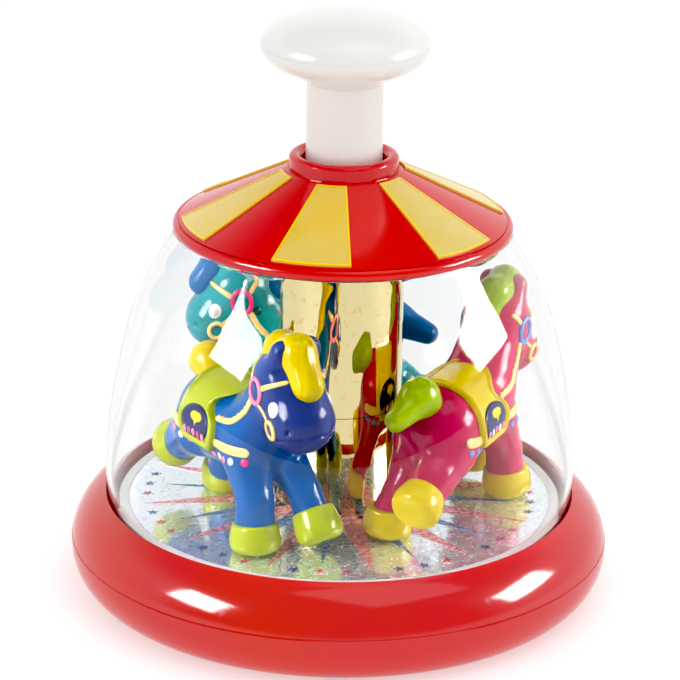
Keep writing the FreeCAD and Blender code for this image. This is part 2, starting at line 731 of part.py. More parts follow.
# ---------------------------------------------------------------- writing the parts
def save_horses():
    body, mane, tail, saddle, hooves, badges = horse_pieces()
    stickers = []
    for index, colour in enumerate(("blue", "pink", "teal")):
        save(colour + "_horse_body", placed(main_solids(body, 50), index))
        save(colour + "_horse_mane", placed(main_solids(mane, 20), index))
        save(colour + "_horse_tail", placed(main_solids(tail, 20), index))
        save(colour + "_horse_saddle", placed(main_solids(saddle, 20), index))
        for name, shape in hooves.items():
            save(colour + "_hoof_" + name, placed(main_solids(shape), index))
        stickers += placed(badges, index).Solids
    save("saddle_badges", group(stickers))


SIMPLE_PARTS = (base_lower_shell, base_upper_ring, base_screws, bearing_bush, dome, dome_screws,
                canopy, canopy_panels, canopy_screws, guide_sleeve, sleeve_screws, guide_bush,
                knob_cap, knob_base, stem, drive_nut, nut_pins, return_spring,
                drive_screw, clutch_disc, thrust_washer, retaining_clip, spring_washer,
                turntable, floor_foil, column_lower, column_upper, flywheel_ring, flywheel_screws,
                hub_bush, ratchet_ring, horse_screws)

os.makedirs(PARTS_DIR, exist_ok=True)
for make in SIMPLE_PARTS:
    save(make.__name__, make())
save_horses()
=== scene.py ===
import math

import bmesh
import bpy
import numpy as np
from mathutils import Matrix, Vector


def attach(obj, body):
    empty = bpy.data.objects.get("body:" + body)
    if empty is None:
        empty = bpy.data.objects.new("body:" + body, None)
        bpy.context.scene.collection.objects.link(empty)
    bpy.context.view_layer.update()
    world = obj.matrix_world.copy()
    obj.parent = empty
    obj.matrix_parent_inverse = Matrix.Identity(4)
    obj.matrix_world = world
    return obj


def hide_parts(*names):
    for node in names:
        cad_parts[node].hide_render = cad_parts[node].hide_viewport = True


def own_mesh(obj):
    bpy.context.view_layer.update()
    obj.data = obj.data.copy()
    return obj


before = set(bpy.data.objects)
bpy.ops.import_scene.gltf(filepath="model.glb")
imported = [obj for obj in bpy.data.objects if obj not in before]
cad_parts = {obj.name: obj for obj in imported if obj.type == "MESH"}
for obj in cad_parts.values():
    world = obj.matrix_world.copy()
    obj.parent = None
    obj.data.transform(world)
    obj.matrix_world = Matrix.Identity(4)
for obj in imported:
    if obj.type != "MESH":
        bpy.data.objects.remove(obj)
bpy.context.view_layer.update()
# sizes are in mm until make(), lathe() and the stage turn them into metres
MM = 0.001
FLOOR_Z = 28.4
HORSE_RADIUS = 38.3
HORSE_START = -58.4


# ---------------------------------------------------------------- signed distance shapes, in mm
def blend_min(a, b, k):
    """The union of two shapes, with a fillet about k wide."""
    h = np.clip(0.5 + 0.5 * (b - a) / k, 0, 1)
    return b + (a - b) * h - k * h * (1 - h)


def blend_max(a, b, k):
    return -blend_min(-a, -b, k)


def ovoid(p, centre, radii):
    """An ellipsoid. The distance is exact only near its surface."""
    q = p - np.array(centre, float)
    r = np.array(radii, float)
    k0 = np.linalg.norm(q / r, axis=-1)
    k1 = np.linalg.norm(q / (r * r), axis=-1)
    return k0 * (k0 - 1) / np.maximum(k1, 1e-9)


def limb(p, a, b, ra, rb):
    """A round cone from a to b."""
    a, b = np.array(a, float), np.array(b, float)
    axis = b - a
    square = axis @ axis
    taper = ra - rb
    slope = square - taper * taper
    offset = p - a
    y = offset @ axis
    z = y - square
    across = ((offset * square - y[..., None] * axis) ** 2).sum(-1)
    limit = np.sign(taper) * taper * taper * across
    far = np.sqrt(across + z * z * square) / square - rb
    near = np.sqrt(across + y * y * square) / square - ra
    side = (np.sqrt(np.maximum(across * slope / square, 0)) + y * taper) / square - ra
    past_a = np.sign(y) * slope * y * y * square < limit
    past_b = np.sign(z) * slope * z * z * square > limit
    return np.where(past_b, far, np.where(past_a, near, side))


def chain(p, points, k):
    """Limbs from each (point, radius) to the next, blended by k."""
    d = None
    for (a, ra), (b, rb) in zip(points[:-1], points[1:]):
        e = limb(p, a, b, ra, rb)
        d = e if d is None else blend_min(d, e, k)
    return d


def gradient(f, p, e=0.05):
    return np.stack([f(p + e * way) - f(p - e * way) for way in np.eye(3)], -1) / (2 * e)


def onto(f, p, steps=6):
    """Moves the points onto the surface of f."""
    for _ in range(steps):
        g = gradient(f, p)
        p = p - (f(p) / np.maximum((g * g).sum(-1), 1e-6))[:, None] * g
    return p


def unit(v):
    return v / np.maximum(np.linalg.norm(v, axis=-1, keepdims=True), 1e-9)


def skin(f, low, high, h):
    """Surface nets over a distance field, with the points then drawn onto the surface."""
    low = np.array(low, float)
    n = np.ceil((np.array(high) - low) / h).astype(int) + 1
    axes = [low[i] + h * np.arange(n[i]) for i in range(3)]
    d = f(np.stack(np.meshgrid(*axes, indexing="ij"), -1).reshape(-1, 3)).reshape(n)
    s = d < 0
    count = np.zeros(n - 1, int)
    corners = [(i, j, k) for i in (0, 1) for j in (0, 1) for k in (0, 1)]
    for i, j, k in corners:
        count += s[i:n[0] - 1 + i, j:n[1] - 1 + j, k:n[2] - 1 + k]
    active = (count > 0) & (count < 8)
    index = -np.ones(n - 1, int)
    index[active] = np.arange(active.sum())
    cell = np.argwhere(active)
    total = np.zeros((len(cell), 3))
    hits = np.zeros(len(cell))
    for a in corners:
        for b in corners:
            if sum(b) - sum(a) != 1 or any(q < p for p, q in zip(a, b)):
                continue
            da = d[tuple((cell + a).T)]
            db = d[tuple((cell + b).T)]
            cross = (da < 0) != (db < 0)
            t = np.where(cross, da / np.where(cross, da - db, 1), 0)
            point = cell + np.array(a) + t[:, None] * (np.array(b) - np.array(a))
            total += np.where(cross[:, None], point, 0)
            hits += cross
    verts = low + h * total / hits[:, None]
    verts = onto(f, verts, steps=2)
    faces = []
    for ax in range(3):
        u, v = (ax + 1) % 3, (ax + 2) % 3
        near = [slice(1, n[i] - 1) for i in range(3)]
        near[ax] = slice(0, n[ax] - 1)
        far = list(near)
        far[ax] = slice(1, n[ax])
        edge = np.argwhere(s[tuple(near)] != s[tuple(far)])
        edge += np.array([0 if i == ax else 1 for i in range(3)])
        inside = d[tuple(edge.T)] < 0
        quad = []
        for du, dv in ((0, 0), (-1, 0), (-1, -1), (0, -1)):
            e = edge.copy()
            e[:, u] += du
            e[:, v] += dv
            quad.append(index[tuple(e.T)])
        quad = np.stack(quad, 1)
        quad[~inside] = quad[~inside][:, ::-1]
        faces.append(quad)
    return verts, np.concatenate(faces)


# ---------------------------------------------------------------- the horse
# x runs forward, y towards the column and z up from the floor
def torso(p):
    return limb(p, (-7, 0, 32.5), (14, 0, 33.0), 14.1, 13.2)


def neck_and_head(p):
    d = limb(p, (21, 0, 39), (32, 0, 55), 11.4, 9.2)
    head = limb(p, (32.5, 0, 56.6), (40.0, 0, 46.6), 10.0, 9.4)
    head = blend_min(head, ovoid(p, (40.4, 0, 45.0), (8.9, 9.9, 8.9)), 3.0)
    return blend_min(d, head, 4.0)


# each leg is two limbs: shoulder, knee and ankle, with a radius at each
LEGS = (
    (((19.5, -6, 27), 7.5), ((25.5, -7.0, 16), 5.6), ((26.5, -7.6, 6), 6.4)),
    (((20.5, 5, 27), 7.2), ((29.5, 7.6, 18), 5.0), ((34.3, 8.2, 10.5), 5.6)),
    (((-11, -5, 27), 9.0), ((-20, -5, 21.5), 6.8), ((-25.5, -4.5, 17.5), 6.4)),
    (((-9.5, 5, 25), 8.3), ((-16, 7, 14), 5.8), ((-21.5, 8.8, 6), 6.4)),
)
# each hoof: its collar, its sole, and the radius at each
HOOVES = {
    "front_outer": ((26.6, -7.6, 7.5), (27.0, -7.8, 4.3), 7.2, 7.9),
    "front_inner": ((34.6, 8.4, 11.3), (37.0, 8.6, 7.8), 6.8, 7.4),
    "rear_outer": ((-26.5, -4.5, 17), (-29.5, -4.5, 15.5), 7.0, 7.8),
    "rear_inner": ((-21.7, 9.0, 7.5), (-22.0, 9.2, 4.3), 7.2, 7.8),
}
HOOF_COLLAR, HOOF_SOLE = 2.0, 4.2
SADDLE_THICKNESS = 1.25
GROOVE_DEPTH = 0.1


def legs(p):
    d = None
    for joints in LEGS:
        e = chain(p, joints, 1.6)
        d = e if d is None else blend_min(d, e, 1.0)
    return d


def ears(p):
    d = None
    for side in (-1, 1):
        lobe = limb(p, (33.8, 4.9 * side, 61.5), (36.6, 4.7 * side, 67.0), 3.8, 3.4)
        hollow = ovoid(p, (40.6, 4.9 * side, 66.6), (1.5, 1.7, 2.6))
        lobe = blend_max(lobe, -hollow, 1.0)
        d = lobe if d is None else np.minimum(d, lobe)
    return d


def face_marks(p, d):
    # nostrils and the line of the mouth
    for side in (-1, 1):
        d = blend_max(d, -ovoid(p, (46.2, 8.0 * side, 45.6), (0.9, 1.0, 0.8)), 0.7)
    curve = np.abs(p[:, 2] - 41.8 - 0.018 * (p[:, 0] - 39.4) ** 2) - 0.25
    reach = np.maximum(35.4 - p[:, 0], p[:, 2] - 45.5)
    line = np.maximum(np.abs(d + 0.1) - 0.45, np.maximum(curve, reach))
    return blend_max(d, -line, 0.5)


def plain_body(p):
    return blend_min(blend_min(torso(p), neck_and_head(p), 5.0), legs(p), 3.0)


def horse_body(p):
    d = face_marks(p, plain_body(p))
    d = blend_min(d, ears(p), 1.5)
    return np.maximum(d, 0.6 - p[:, 2])


def combed(d, swirl):
    """Shallow grooves where the sine of swirl is high, like combed locks."""
    return d + GROOVE_DEPTH * np.clip(np.sin(swirl), -0.2, 1)


def mane(p):
    d = chain(p, (((16.5, 0, 47), 3.3), ((22, 0, 56), 4.7), ((29.5, 0, 65.0), 5.3),
                  ((37.8, 0, 66.2), 5.5), ((44.2, 0, 58.0), 4.9)), 2.5)
    return combed(d, (p[:, 1] + 0.22 * (p[:, 0] - 28)) * 1.75)


def tail(p):
    d = chain(p, (((-13, 0, 41.5), 4.1), ((-18, 1.2, 45.8), 5.6), ((-29.0, 3.4, 41.4), 3.6)), 3.0)
    return combed(d, (p[:, 1] + 0.12 * (p[:, 2] - 40)) * 1.5)


def hoof(p, name):
    a, b, ra, rb = HOOVES[name]
    axis = unit(np.array(b, float) - np.array(a, float))
    d = limb(p, a, b, ra, rb)
    along = (p - np.array(a, float)) @ axis
    d = blend_max(d, -along - HOOF_COLLAR, 0.8)
    sole = (p - np.array(b, float)) @ axis - HOOF_SOLE
    d = blend_max(d, sole, 2.4)
    return np.maximum(d, 0.05 - p[:, 2])


def saddle_edge(p):
    """Less than 0 inside the saddle's outline, seen from the side."""
    x, z = p[:, 0], p[:, 2]
    front = 10.6 - 5.2 * np.exp(-((z - 42.0) / 3.4) ** 2) + 2.6 * np.clip((z - 44) / 3, 0, 1)
    front = front - 0.16 * np.clip(34 - z, 0, 9) ** 1.5
    back = -7.6 + 0.17 * np.clip(34 - z, 0, 9) ** 1.5 - 0.8 * np.clip((z - 44) / 3, 0, 1)
    return np.maximum(np.maximum(x - front - 1.5, back - x), 27.6 - z)


def saddle_top(p):
    return torso(p) - SADDLE_THICKNESS


def saddle(p):
    edge = saddle_edge(p)
    rim = 0.75 * np.clip(1 - np.abs(edge + 1.0) / 0.95, 0, 1) ** 0.5
    return blend_max(saddle_top(p) - rim, edge, 0.6)


# ---------------------------------------------------------------- mesh helpers
def make(name, verts, faces, material, body, smooth=True, scale=MM, place=None, slot=None):
    """A mesh object that rides on the body, unless the body is None."""
    mesh = bpy.data.meshes.new(name)
    mesh.from_pydata((np.asarray(verts, float) * scale).tolist(), [], [list(map(int, f)) for f in faces])
    mesh.polygons.foreach_set("use_smooth", [smooth] * len(mesh.polygons))
    mesh.update()
    thing = bpy.data.objects.new(name, mesh)
    bpy.context.scene.collection.objects.link(thing)
    mesh.materials.append(material)
    if place is not None:
        thing.matrix_world = place
    if body:
        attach(thing, body)
    return thing


def join(parts):
    verts, faces, base = [], [], 0
    for v, f in parts:
        verts.append(np.asarray(v, float))
        faces += [[int(i) + base for i in face] for face in f]
        base += len(v)
    return np.concatenate(verts), faces


def curve_points(points, step=0.5, closed=False):
    """A Catmull-Rom curve through the points, sampled about every step mm."""
    p = np.array(points, float)
    p = np.vstack([p[-1:], p, p[:2]]) if closed else np.vstack([2 * p[0] - p[1], p, 2 * p[-1] - p[-2]])
    out = []
    for i in range(1, len(p) - 2):
        n = max(2, int(np.linalg.norm(p[i + 1] - p[i]) / step))
        t = (np.arange(n) / n)[:, None]
        a, b, c, d = p[i - 1], p[i], p[i + 1], p[i + 2]
        square, cube = 2 * a - 5 * b + 4 * c - d, 3 * b - a - 3 * c + d
        out.append(0.5 * (2 * b + (c - a) * t + square * t ** 2 + cube * t ** 3))
    if not closed:
        out.append(p[-2:-1])
    return np.vstack(out)


# a strap's section: how far across it each point is, and how high
STRAP_SECTION = ((-1.0, -0.25), (-0.96, 0.55), (-0.72, 0.9), (0.0, 1.0),
                 (0.72, 0.9), (0.96, 0.55), (1.0, -0.25))
SCALLOP_PITCH = 2.4


def strap(f, points, width, height, closed=False, scallop=0.0, taper=0.0):
    """A raised strap laid along the surface of f."""
    path = onto(f, curve_points(points, 0.45, closed))
    normal = unit(gradient(f, path))
    ahead = np.roll(path, -1, 0) - np.roll(path, 1, 0)
    if not closed:
        ahead[0], ahead[-1] = path[1] - path[0], path[-1] - path[-2]
    side = unit(np.cross(normal, unit(ahead)))
    length = np.concatenate([[0], np.cumsum(np.linalg.norm(np.diff(path, axis=0), axis=1))])
    half = np.full(len(path), width / 2.0)
    if not closed:
        end = np.minimum(length, length[-1] - length)
        half = half * np.sqrt(np.clip(1 - (1 - np.clip(end / (width / 2), 0, 1)) ** 2, 0.02, 1))
        half = half * (1 - taper * length / length[-1])
    wave = scallop * np.abs(np.sin(length * math.pi / SCALLOP_PITCH))
    rows = []
    for across, rise in STRAP_SECTION:
        reach = half + (wave if across > 0.5 else 0)
        base = onto(f, path + side * (across * reach)[:, None], steps=3)
        rows.append(base + normal * (height * rise))
    grid = np.stack(rows, 1)
    m, n = grid.shape[:2]
    faces = []
    for i in range(m if closed else m - 1):
        j = (i + 1) % m
        for k in range(n - 1):
            faces.append((i * n + k, i * n + k + 1, j * n + k + 1, j * n + k))
        faces.append((i * n + n - 1, i * n, j * n, j * n + n - 1))
    if not closed:
        faces.append(list(range(n)))
        faces.append([(m - 1) * n + k for k in range(n)][::-1])
    return grid.reshape(-1, 3), faces


def pad(f, centre, outline, height, dome=0.5, rings=7, spokes=48):
    """A low raised pad on the surface of f. outline(angle) gives its reach in mm."""
    c = onto(f, np.array([centre], float))[0]
    n = unit(gradient(f, c[None]))[0]
    up = unit(np.array([0, 0, 1.0]) - n * n[2])
    across = np.cross(up, n)
    verts, faces = [c + n * height], []
    angles = np.arange(spokes) * 2 * math.pi / spokes
    reach = np.array([outline(a) for a in angles])
    for i in range(1, rings + 2):
        t = min(i / rings, 1.0)
        x = np.cos(angles) * reach * t
        y = np.sin(angles) * reach * t
        flat = onto(f, c + x[:, None] * across + y[:, None] * up, steps=4)
        rise = -0.2 if i > rings else height * (1 - dome * t ** 2 - (1 - dome) * max(0, t - 0.9) * 5)
        verts += list(flat + unit(gradient(f, flat)) * rise)
    for i in range(rings + 1):
        for j in range(spokes):
            k = (j + 1) % spokes
            if i == 0:
                faces.append((0, 1 + j, 1 + k))
            else:
                a, b = 1 + (i - 1) * spokes, 1 + i * spokes
                faces.append((a + j, b + j, b + k, a + k))
    faces.append([1 + rings * spokes + j for j in range(spokes)][::-1])
    return np.array(verts), faces


def oval(a, b):
    """An outline a mm across and b mm up from its middle."""
    return lambda t: a * b / math.hypot(b * math.cos(t), a * math.sin(t))


def heart(size):
    def reach(t):
        s = math.sin(t)
        return size * (0.72 - 0.30 * s + 0.42 * s * math.sqrt(abs(math.cos(t))) / (s + 1.5))
    return reach


def widened(reach, factor):
    """The same outline, stretched sideways."""
    def stretched(t):
        c, s = math.cos(t) / factor, math.sin(t)
        return reach(math.atan2(s, c)) / math.hypot(c, s)
    return stretched


def arch(size):
    """A rounded shield, flat at the bottom."""
    def reach(t):
        c, s = math.cos(t), math.sin(t)
        flat = size * 0.86 / max(-s, 0.05) if s < 0 else 99
        return min(size, flat, size * 1.12 / max(abs(c) + 0.18 * s, 0.2))
    return reach


SHARP_ANGLE = 40


def lathe(name, profile, material, body, segments=192):
    """Turns a closed outline of (radius, height) points about the centre axis."""
    mesh = bpy.data.meshes.new(name)
    bm = bmesh.new()
    rings = []
    for r, z in profile:
        ring = []
        for i in range(segments):
            a = 2 * math.pi * i / segments
            ring.append(bm.verts.new((r * math.cos(a) * MM, r * math.sin(a) * MM, z * MM)))
        rings.append(ring)
    for a, b in zip(rings, rings[1:] + rings[:1]):
        for i in range(segments):
            j = (i + 1) % segments
            bm.faces.new((a[i], a[j], b[j], b[i]))
    bmesh.ops.recalc_face_normals(bm, faces=bm.faces)
    for f in bm.faces:
        f.smooth = True
    bm.to_mesh(mesh)
    bm.free()
    thing = bpy.data.objects.new(name, mesh)
    bpy.context.scene.collection.objects.link(thing)
    mesh.materials.append(material)
    mark_sharp(thing, SHARP_ANGLE)
    if body:
        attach(thing, body)
    return thing


def mark_sharp(thing, degrees):
    bm = bmesh.new()
    bm.from_mesh(thing.data)
    for e in bm.edges:
        if len(e.link_faces) == 2 and e.calc_face_angle(0) > math.radians(degrees):
            e.smooth = False
    bm.to_mesh(thing.data)
    bm.free()


def soften(points, radius, steps=5):
    """Rounds the corners of a closed outline."""
    out = []
    n = len(points)
    for i in range(n):
        a, b, c = (np.array(points[(i + k) % n], float) for k in (-1, 0, 1))
        r1 = min(radius, np.linalg.norm(a - b) * 0.45)
        r2 = min(radius, np.linalg.norm(c - b) * 0.45)
        p, q = b + unit(a - b) * r1, b + unit(c - b) * r2
        for k in range(steps + 1):
            t = k / steps
            out.append(tuple((1 - t) ** 2 * p + 2 * t * (1 - t) * b + t ** 2 * q))
    return out


# ---------------------------------------------------------------- materials
def new_material(name):
    """An empty material with its tree, its shader, its output and the object's own coordinates."""
    m = bpy.data.materials.new(name)
    m.use_nodes = True
    tree = m.node_tree
    tree.nodes.clear()
    out = tree.nodes.new("ShaderNodeOutputMaterial")
    shader = tree.nodes.new("ShaderNodeBsdfPrincipled")
    tree.links.new(shader.outputs[0], out.inputs[0])
    return m, tree, shader, out, tree.nodes.new("ShaderNodeTexCoord").outputs["Object"]


def feed(tree, target, inputs):
    """Links or sets each input of the target node."""
    for key, value in inputs.items():
        if isinstance(value, bpy.types.NodeSocket):
            tree.links.new(value, target.inputs[key])
        else:
            target.inputs[key].default_value = value


def node(tree, kind, inputs=None, **settings):
    n = tree.nodes.new(kind)
    for key, value in settings.items():
        setattr(n, key, value)
    feed(tree, n, inputs or {})
    return n


def linear(r, g, b):
    """An sRGB colour, out of 255, as the linear colour that a shader takes."""
    shares = [c / 255 for c in (r, g, b)]
    return tuple(c / 12.92 if c <= 0.04045 else ((c + 0.055) / 1.055) ** 2.4 for c in shares) + (1,)


def mixed(tree, factor, a, b, blend="MIX"):
    return node(tree, "ShaderNodeMix", {0: factor, 6: a, 7: b}, data_type="RGBA", blend_type=blend).outputs[2]


def remap(tree, value, low, high, to_low=0.0, to_high=1.0, **settings):
    """Low to high becomes to_low to to_high, and it stops at both ends."""
    limits = {"From Min": low, "From Max": high, "To Min": to_low, "To Max": to_high}
    return node(tree, "ShaderNodeMapRange", {"Value": value, **limits}, **settings).outputs[0]


def noise(tree, place, scale, detail, **inputs):
    pattern = {"Vector": place, "Scale": scale, "Detail": detail, **inputs}
    return node(tree, "ShaderNodeTexNoise", pattern).outputs[0]


def stretched(tree, place, scale, rotation=(0, 0, 0)):
    return node(tree, "ShaderNodeMapping", {"Vector": place, "Scale": scale, "Rotation": rotation}).outputs[0]


def bumped(tree, height, strength, distance, **inputs):
    relief = {"Height": height, "Strength": strength, "Distance": distance, **inputs}
    return node(tree, "ShaderNodeBump", relief).outputs[0]


FULL_COAT = 0.3
# where the painted shade and reflection on a horse's head starts and ends, along x and z in metres
HEAD_SHADE_STARTS, HEAD_SHADE_ENDS = (0.020, 0.022), (0.038, 0.038)


def front_share(tree, place):
    """1 at the front and top of a piece, 0 behind and below, along x and z in metres."""
    part = node(tree, "ShaderNodeSeparateXYZ", {0: place}).outputs
    reach = remap(tree, part[0], HEAD_SHADE_STARTS[0], HEAD_SHADE_ENDS[0])
    height = remap(tree, part[2], HEAD_SHADE_STARTS[1], HEAD_SHADE_ENDS[1])
    return node(tree, "ShaderNodeMath", {0: reach, 1: height}, operation="MULTIPLY").outputs[0]


def moulded(name, colour, shade, rough=0.13, coat=0.35, depth=0.0, waves=22.0, amount=0.5, ahead=None):
    """Glossy moulded plastic: slow colour drift, faint flow waves, fine grain and hairline scratches."""
    m, tree, shader, _, place = new_material(name)
    drift = noise(tree, place, waves, 3.0, Roughness=0.55)
    tint = mixed(tree, remap(tree, drift, 0.35, 0.7, 0.0, amount), linear(*colour), linear(*shade))
    if ahead:
        # navy painted towards the front and top of the piece: painted shade and reflection on the head
        tint = mixed(tree, front_share(tree, place), tint, linear(*ahead))
    hair = noise(tree, stretched(tree, place, (90.0, 1500.0, 240.0), (0.3, 0.5, 0.7)), 1.0, 3.0)
    flow = bumped(tree, noise(tree, place, 70.0, 1.0), 0.10, 0.0008)
    feed(tree, shader, {
        "Base Color": tint,
        "Roughness": remap(tree, hair, 0.62, 0.78, rough, rough + 0.10),
        "Normal": bumped(tree, noise(tree, place, 1400.0, 2.0), 0.015, 0.0003, Normal=flow),
        "IOR": 1.43,
        "Coat Weight": coat * FULL_COAT,
        "Coat Roughness": 0.05,
    })
    if depth:
        feed(tree, shader, {
            "Subsurface Weight": depth,
            "Subsurface Radius": (1.0, 0.6, 0.4),
            "Subsurface Scale": 0.002,
        })
    return m


def metal(name, colour, rough, scale=900.0):
    """Bare or plated metal with a fine grain along z."""
    m, tree, shader, _, place = new_material(name)
    grain = noise(tree, stretched(tree, place, (scale, scale, scale * 0.08)), 1.0, 4.0)
    feed(tree, shader, {
        "Base Color": mixed(tree, grain, linear(*colour), linear(*[c * 0.72 for c in colour])),
        "Roughness": remap(tree, grain, 0.0, 1.0, rough, rough + 0.18),
        "Normal": bumped(tree, grain, 0.15, 0.0002),
        "Metallic": 1.0,
    })
    return m


def clear_plastic():
    """Clear plastic that lets the light through to what stands behind it."""
    m, tree, shader, out, place = new_material("clear_dome")
    feed(tree, shader, {
        "Roughness": remap(tree, noise(tree, place, 30.0, 5.0), 0.4, 0.8, 0.0, 0.03),
        "Normal": bumped(tree, noise(tree, place, 26.0, 0.5), 0.05, 0.001),
        "Base Color": (0.925, 0.928, 0.932, 1),
        "Transmission Weight": 1.0,
        "IOR": 1.33,
    })
    shadow = node(tree, "ShaderNodeLightPath").outputs["Is Shadow Ray"]
    through = node(tree, "ShaderNodeBsdfTransparent", {"Color": (0.97, 0.975, 0.98, 1)})
    choose = node(tree, "ShaderNodeMixShader", {0: shadow, 1: shader.outputs[0], 2: through.outputs[0]})
    feed(tree, out, {0: choose.outputs[0]})
    return m


def mirror_gold():
    """Metallised plastic: a slightly rippled mirror with worn specks."""
    m, tree, shader, _, place = new_material("mirror_gold")
    ripple = noise(tree, stretched(tree, place, (130.0, 130.0, 16.0)), 1.0, 2.0)
    worn = remap(tree, noise(tree, place, 420.0, 4.0), 0.58, 0.72)
    feed(tree, shader, {
        "Base Color": mixed(tree, worn, linear(238, 222, 168), linear(226, 202, 130)),
        "Roughness": remap(tree, worn, 0.0, 1.0, 0.02, 0.12),
        "Normal": bumped(tree, ripple, 0.35, 0.0012),
        "Metallic": 1.0,
    })
    return m


def flakes(tree, place):
    """Three random values for each glitter flake."""
    cells = node(tree, "ShaderNodeTexVoronoi", {"Vector": place, "Scale": 900.0})
    return node(tree, "ShaderNodeSeparateColor", {0: cells.outputs["Color"]}).outputs


def hue(tree, value, saturation):
    return node(tree, "ShaderNodeCombineColor", {0: value, 1: saturation, 2: 1.0}, mode="HSV").outputs[0]


def glitter():
    """Holographic glitter film: small tilted flakes, each with its own hue."""
    m, tree, shader, _, place = new_material("glitter_foil")
    flake = flakes(tree, place)
    patches = hue(tree, noise(tree, place, 38.0, 2.0), 0.16)
    base = mixed(tree, 0.35, linear(236, 238, 244), patches, "MULTIPLY")
    pick = remap(tree, flake[1], 0.45, 1.0, 0.0, 0.35)
    feed(tree, shader, {
        "Base Color": mixed(tree, pick, base, hue(tree, flake[0], 0.55)),
        "Roughness": remap(tree, flake[1], 0.0, 1.0, 0.06, 0.30),
        "Normal": bumped(tree, flake[2], 0.85, 0.00022),
        "Metallic": 0.82,
        "Coat Weight": 0.5,
        "Coat Roughness": 0.03,
    })
    return m


def foil_ink(name, colour, shade):
    """Translucent ink printed over the glitter film."""
    m, tree, shader, _, place = new_material(name)
    flake = flakes(tree, place)
    feed(tree, shader, {
        "Base Color": mixed(tree, flake[0], linear(*colour), linear(*shade)),
        "Roughness": remap(tree, flake[1], 0.0, 1.0, 0.15, 0.4),
        "Normal": bumped(tree, flake[2], 0.3, 0.0002),
        "Metallic": 0.45,
    })
    return m


RED = moulded("red_plastic", (208, 54, 42), (200, 38, 66), rough=0.12, waves=14.0)
RED_TOP = moulded("red_canopy", (214, 40, 32), (202, 20, 54), rough=0.14, waves=16.0)
GOLD_PANEL = moulded("gold_panel", (226, 190, 66), (226, 210, 140), rough=0.22, waves=20.0, amount=0.95)
GOLD_EDGE = moulded("gold_edge", (250, 214, 30), (252, 226, 70), rough=0.18)
CLEAR = clear_plastic()
WHITE = moulded("white_plastic", (232, 232, 229), (226, 226, 222), rough=0.2, coat=0.2, depth=0.05)
CREAM = moulded("cream_plastic", (240, 236, 232), (232, 226, 221), rough=0.22, coat=0.1, depth=0.05)
INNER = moulded("inner_plastic", (206, 206, 206), (196, 196, 194), rough=0.35, coat=0.0)
NYLON = moulded("nylon", (232, 228, 214), (220, 214, 196), rough=0.4, coat=0.0, depth=0.1)
STEEL = metal("steel", (176, 176, 180), 0.22)
ZINC = metal("zinc", (196, 198, 204), 0.25, 1600.0)
IRON = metal("iron", (84, 84, 88), 0.5, 400.0)
COLUMN = mirror_gold()
FOIL = glitter()
RAY_RED = foil_ink("ray_red", (208, 112, 122), (236, 180, 184))
RAY_BLUE = foil_ink("ray_blue", (66, 104, 166), (130, 164, 206))
STAR_RED = foil_ink("star_red", (170, 60, 90), (200, 90, 110))
STAR_BLUE = foil_ink("star_blue", (40, 60, 120), (70, 96, 160))
BODY_GLOSS = {"rough": 0.1, "waves": 30.0}
TRIM_GLOSS = {"rough": 0.14, "coat": 0.4, "depth": 0.05, "waves": 40.0}
# the navy towards the head of the blue body is painted shade and reflection
BLUE = moulded("blue_plastic", (0, 86, 154), (2, 66, 134), coat=0.2, ahead=(46, 60, 122), **BODY_GLOSS)
PINK = moulded("pink_plastic", (182, 38, 80), (166, 32, 62), coat=0.6, **BODY_GLOSS)
TEAL = moulded("teal_plastic", (16, 134, 142), (40, 160, 168), coat=0.6, **BODY_GLOSS)
YELLOW = moulded("yellow_plastic", (208, 184, 4), (198, 172, 2), **TRIM_GLOSS)
LIME = moulded("lime_plastic", (164, 174, 22), (150, 162, 18), **TRIM_GLOSS)
LIME_HAIR = moulded("lime_hair_plastic", (154, 178, 30), (138, 166, 22), **TRIM_GLOSS)
DEEP = moulded("deep_blue_plastic", (4, 98, 156), (0, 78, 146), rough=0.12, coat=0.5, waves=40.0)
TAN = moulded("tan_paint", (232, 200, 120), (240, 214, 150), rough=0.25, coat=0.1, waves=120.0)
PALE_PINK = moulded("pale_pink_paint", (236, 124, 158), (240, 150, 176), rough=0.25, coat=0.1)
HOT_PINK = moulded("hot_pink_paint", (226, 50, 124), (214, 36, 110), rough=0.25, coat=0.1)
EYE_WHITE = moulded("eye_white_paint", (246, 246, 244), (238, 238, 238), rough=0.15, coat=0.3)
EYE_GREY = moulded("eye_grey_paint", (214, 208, 210), (226, 220, 222), rough=0.15, coat=0.3)
NAVY = moulded("navy_paint", (18, 30, 84), (10, 18, 60), rough=0.2, coat=0.3)
GOLD_PAINT = moulded("gold_paint", (246, 206, 20), (250, 220, 60), rough=0.2, coat=0.2)
GREEN = moulded("green_paint", (10, 92, 84), (4, 76, 72), rough=0.2, coat=0.2)
SKY = moulded("sky_paint", (96, 132, 214), (120, 150, 224), rough=0.2, coat=0.2)

NODE_MATERIALS = {
    RED: ("base_lower_shell", "base_upper_ring"),
    RED_TOP: ("canopy",),
    GOLD_PANEL: ("canopy_panels",),
    WHITE: ("knob_cap", "knob_base"),
    CREAM: ("stem",),
    INNER: ("guide_sleeve", "drive_nut", "turntable", "ratchet_ring", "drive_screw"),
    NYLON: ("bearing_bush", "guide_bush", "hub_bush", "clutch_disc"),
    STEEL: ("nut_pins", "thrust_washer", "retaining_clip", "spring_washer"),
    ZINC: ("base_screws", "dome_screws", "canopy_screws", "sleeve_screws", "flywheel_screws",
           "horse_screws"),
    IRON: ("flywheel_ring",),
    COLUMN: ("column_lower", "column_upper"),
    FOIL: ("floor_foil",),
}
for material, names in NODE_MATERIALS.items():
    for name in names:
        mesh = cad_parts[name].data
        mesh.materials.clear()
        mesh.materials.append(material)

# ---------------------------------------------------------------- clear dome
DOME_WALL = 1.6
SKIRT_TOP = 116.5
PLATE_BORE, PLATE_EDGE, PLATE_LOW, PLATE_HIGH = 22.5, 49.2, 115.4, 116.85


